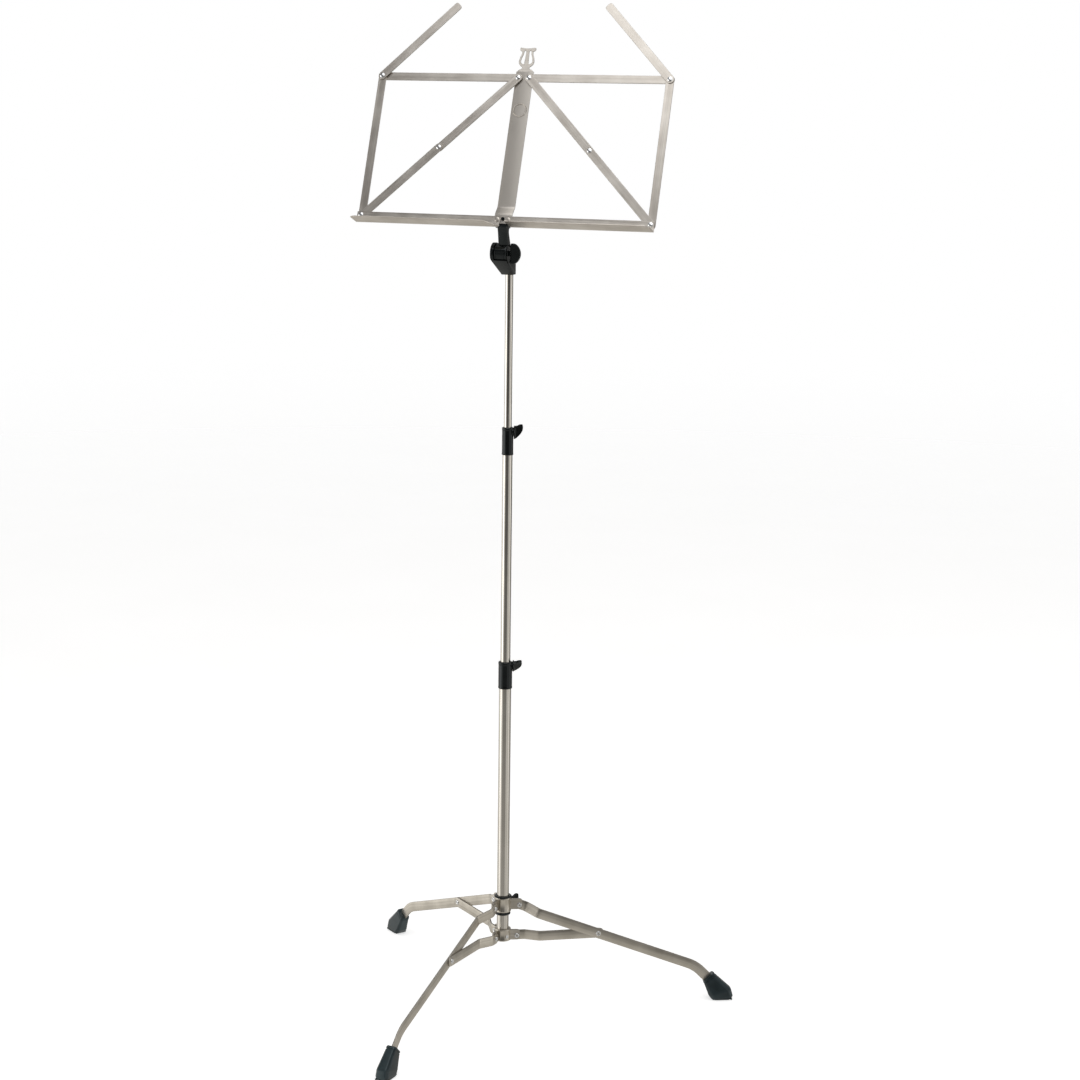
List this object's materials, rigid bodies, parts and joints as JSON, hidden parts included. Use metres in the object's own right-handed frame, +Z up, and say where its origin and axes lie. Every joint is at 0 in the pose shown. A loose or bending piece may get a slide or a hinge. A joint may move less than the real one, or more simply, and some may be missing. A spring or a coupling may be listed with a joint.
{
  "type": "music stand",
  "caption": "Folding sheet-music stand: riveted flat-bar desk with a ledge and page arms on a tilting head, telescopic pole with wing-screw clamps, and a folding tripod with rubber feet",
  "frame": {"origin": "on the floor, below the middle of the whole stand's box as it stands open; the pole's axis is 25.5 mm to the left of the origin and 64.8 mm behind it", "axes": "+Z up along the pole, +X to the reader's right along the ledge, +Y away from the reader, so the desk faces -Y"},
  "size_m": [0.6434, 0.6036, 1.5582],
  "materials": {
    "tube_chrome": "bright nickel-chrome plate on drawn steel tube",
    "strip_steel": "satin nickel plate on flat steel strip",
    "desk_steel": "satin nickel plate on flat steel bar",
    "hub_steel": "satin nickel plate on pressed steel",
    "rivet": "bright plated steel",
    "screw_steel": "dark plated steel",
    "black_plastic": "moulded black nylon, semi gloss",
    "foot_rubber": "matt black moulded rubber"
  },
  "bodies": {
    "base": {"lower_tube": "tube_chrome", "lower_hub": "hub_steel", "lower_hub_pin": "rivet", "lower_hub_rivets": "rivet", "lower_clamp": "black_plastic"},
    "runner": {"runner_hub": "hub_steel", "runner_bush": "black_plastic", "runner_rivets": "rivet"},
    "runner_screw": {"runner_screw": "black_plastic"},
    "lower_clamp_screw": {"lower_clamp_screw": "black_plastic"},
    "middle": {"middle_tube": "tube_chrome", "upper_clamp": "black_plastic"},
    "upper_clamp_screw": {"upper_clamp_screw": "black_plastic"},
    "upper": {"upper_tube": "tube_chrome"},
    "head": {"tilt_bracket": "black_plastic"},
    "tilt_screw": {"tilt_screw": "black_plastic"},
    "desk_centre": {"tilt_arm": "black_plastic", "centre_strip": "desk_steel", "foot_screw": "screw_steel", "top_centre_rivets": "rivet", "ledge_centre_rivets": "rivet"},
    "leg_1": {"leg_1": "strip_steel", "foot_1": "foot_rubber", "leg_rivet_1": "rivet"},
    "brace_1": {"brace_1": "strip_steel", "brace_rivet_1": "rivet"},
    "leg_2": {"leg_2": "strip_steel", "foot_2": "foot_rubber", "leg_rivet_2": "rivet"},
    "brace_2": {"brace_2": "strip_steel", "brace_rivet_2": "rivet"},
    "leg_3": {"leg_3": "strip_steel", "foot_3": "foot_rubber", "leg_rivet_3": "rivet"},
    "brace_3": {"brace_3": "strip_steel", "brace_rivet_3": "rivet"},
    "ledge_left": {"ledge_left": "desk_steel", "ledge_rivet_left": "rivet"},
    "top_bar_left": {"top_bar_left": "desk_steel", "corner_rivet_left": "rivet"},
    "side_bar_left": {"side_bar_left": "desk_steel"},
    "diagonal_upper_left": {"diagonal_upper_left": "desk_steel", "diagonal_rivet_left": "rivet"},
    "diagonal_lower_left": {"diagonal_lower_left": "desk_steel"},
    "page_arm_left": {"page_arm_left": "desk_steel"},
    "ledge_right": {"ledge_right": "desk_steel", "ledge_rivet_right": "rivet"},
    "top_bar_right": {"top_bar_right": "desk_steel", "corner_rivet_right": "rivet"},
    "side_bar_right": {"side_bar_right": "desk_steel"},
    "diagonal_upper_right": {"diagonal_upper_right": "desk_steel", "diagonal_rivet_right": "rivet"},
    "diagonal_lower_right": {"diagonal_lower_right": "desk_steel"},
    "page_arm_right": {"page_arm_right": "desk_steel"}
  },
  "joints": [
    {"name": "runner_slide", "type": "slide", "parent": "base", "child": "runner", "axis": [0, 0, 1], "range_m": [0, 0.21114]},
    {"name": "leg_1_fold", "type": "hinge", "parent": "runner", "child": "leg_1", "pos_m": [-0.00177, 0.07542, 0.1588], "axis": [-0.4083, 0.9128, 0], "range_deg": [-0.5, 67.14]},
    {"name": "brace_1_fold", "type": "hinge", "parent": "base", "child": "brace_1", "pos_m": [-0.00505, 0.07395, 0.108], "axis": [0.4083, -0.9128, 0], "range_deg": [-0.5, 83]},
    {"name": "leg_2_fold", "type": "hinge", "parent": "runner", "child": "leg_2", "pos_m": [-0.04656, 0.08005, 0.1588], "axis": [-0.5864, -0.81, 0], "range_deg": [-0.5, 67.14]},
    {"name": "brace_2_fold", "type": "hinge", "parent": "base", "child": "brace_2", "pos_m": [-0.04365, 0.07794, 0.108], "axis": [0.5864, 0.81, 0], "range_deg": [-0.5, 83]},
    {"name": "leg_3_fold", "type": "hinge", "parent": "runner", "child": "leg_3", "pos_m": [-0.02817, 0.03894, 0.1588], "axis": [0.9947, -0.1028, 0], "range_deg": [-0.5, 67.14]},
    {"name": "brace_3_fold", "type": "hinge", "parent": "base", "child": "brace_3", "pos_m": [-0.0278, 0.04252, 0.108], "axis": [-0.9947, 0.1028, 0], "range_deg": [-0.5, 83]},
    {"name": "runner_screw_turn", "type": "hinge", "parent": "runner", "child": "runner_screw", "pos_m": [-0.01432, 0.08138, 0.1645], "axis": [0.5592, 0.829, 0], "range_deg": [0, 180]},
    {"name": "lower_clamp_screw_turn", "type": "hinge", "parent": "base", "child": "lower_clamp_screw", "pos_m": [-0.01272, 0.07052, 0.5485], "axis": [0.9128, 0.4083, 0], "range_deg": [0, 270]},
    {"name": "upper_clamp_screw_turn", "type": "hinge", "parent": "middle", "child": "upper_clamp_screw", "pos_m": [-0.01272, 0.07052, 0.9165], "axis": [0.9128, 0.4083, 0], "range_deg": [0, 270]},
    {"name": "middle_slide", "type": "slide", "parent": "base", "child": "middle", "axis": [0, 0, 1], "range_m": [-0.315, 0.02]},
    {"name": "upper_slide", "type": "slide", "parent": "middle", "child": "upper", "axis": [0, 0, 1], "range_m": [-0.226, 0.12]},
    {"name": "head_swivel", "type": "hinge", "parent": "upper", "child": "head", "pos_m": [-0.0255, 0.0648, 1.17], "axis": [0, 0, 1], "continuous": true},
    {"name": "tilt_screw_turn", "type": "hinge", "parent": "head", "child": "tilt_screw", "pos_m": [-0.0135, 0.0442, 1.18878], "axis": [1, 0, 0], "range_deg": [0, 180]},
    {"name": "desk_tilt", "type": "hinge", "parent": "head", "child": "desk_centre", "pos_m": [-0.0255, 0.0442, 1.18878], "axis": [1, 0, 0], "range_deg": [-50, 20.8]},
    {"name": "ledge_right_fold", "type": "hinge", "parent": "desk_centre", "child": "ledge_right", "pos_m": [-0.0169, 0.03376, 1.23929], "axis": [0, -0.9348, 0.3551], "range_deg": [0, 86]},
    {"name": "top_bar_right_fold", "type": "hinge", "parent": "desk_centre", "child": "top_bar_right", "pos_m": [-0.0169, 0.1191, 1.44649], "axis": [0, -0.9348, 0.3551], "range_deg": [-0.5, 86.5]},
    {"name": "side_bar_right_fold", "type": "hinge", "parent": "top_bar_right", "child": "side_bar_right", "pos_m": [0.2045, 0.1176, 1.44705], "axis": [0, -0.9348, 0.3551], "range_deg": [-86.5, 0.5]},
    {"name": "diagonal_upper_right_fold", "type": "hinge", "parent": "desk_centre", "child": "diagonal_upper_right", "pos_m": [-0.0169, 0.1176, 1.44705], "axis": [0, -0.9348, 0.3551], "range_deg": [-45.4, 0.5]},
    {"name": "diagonal_lower_right_fold", "type": "hinge", "parent": "diagonal_upper_right", "child": "diagonal_lower_right", "pos_m": [0.09462, 0.07604, 1.34215], "axis": [0, -0.9348, 0.3551], "range_deg": [-0.5, 175]},
    {"name": "page_arm_right_turn", "type": "hinge", "parent": "side_bar_right", "child": "page_arm_right", "pos_m": [0.2045, 0.1161, 1.44762], "axis": [0, 0.9348, -0.3551], "range_deg": [-76, 224]},
    {"name": "ledge_left_fold", "type": "hinge", "parent": "desk_centre", "child": "ledge_left", "pos_m": [-0.0341, 0.03376, 1.23929], "axis": [0, 0.9348, -0.3551], "range_deg": [0, 86]},
    {"name": "top_bar_left_fold", "type": "hinge", "parent": "desk_centre", "child": "top_bar_left", "pos_m": [-0.0341, 0.1191, 1.44649], "axis": [0, 0.9348, -0.3551], "range_deg": [-0.5, 86.5]},
    {"name": "side_bar_left_fold", "type": "hinge", "parent": "top_bar_left", "child": "side_bar_left", "pos_m": [-0.2555, 0.1176, 1.44705], "axis": [0, 0.9348, -0.3551], "range_deg": [-86.5, 0.5]},
    {"name": "diagonal_upper_left_fold", "type": "hinge", "parent": "desk_centre", "child": "diagonal_upper_left", "pos_m": [-0.0341, 0.1176, 1.44705], "axis": [0, 0.9348, -0.3551], "range_deg": [-45.4, 0.5]},
    {"name": "diagonal_lower_left_fold", "type": "hinge", "parent": "diagonal_upper_left", "child": "diagonal_lower_left", "pos_m": [-0.14562, 0.07604, 1.34215], "axis": [0, 0.9348, -0.3551], "range_deg": [-0.5, 175]},
    {"name": "page_arm_left_turn", "type": "hinge", "parent": "side_bar_left", "child": "page_arm_left", "pos_m": [-0.2555, 0.1161, 1.44762], "axis": [0, -0.9348, 0.3551], "range_deg": [-76, 224]}
  ],
  "couplings": [
    {"joint": "leg_1_fold", "follows": "runner_slide", "rad_per_m": 5.5083},
    {"joint": "brace_1_fold", "follows": "runner_slide", "rad_per_m": 6.8195},
    {"joint": "leg_2_fold", "follows": "runner_slide", "rad_per_m": 5.5083},
    {"joint": "brace_2_fold", "follows": "runner_slide", "rad_per_m": 6.8195},
    {"joint": "leg_3_fold", "follows": "runner_slide", "rad_per_m": 5.5083},
    {"joint": "brace_3_fold", "follows": "runner_slide", "rad_per_m": 6.8195},
    {"joint": "top_bar_right_fold", "follows": "ledge_right_fold", "ratio": 1},
    {"joint": "side_bar_right_fold", "follows": "ledge_right_fold", "ratio": -1},
    {"joint": "diagonal_upper_right_fold", "follows": "ledge_right_fold", "ratio": -0.52122},
    {"joint": "diagonal_lower_right_fold", "follows": "ledge_right_fold", "ratio": 2.0271},
    {"joint": "top_bar_left_fold", "follows": "ledge_left_fold", "ratio": 1},
    {"joint": "side_bar_left_fold", "follows": "ledge_left_fold", "ratio": -1},
    {"joint": "diagonal_upper_left_fold", "follows": "ledge_left_fold", "ratio": -0.52122},
    {"joint": "diagonal_lower_left_fold", "follows": "ledge_left_fold", "ratio": 2.0271}
  ]
}
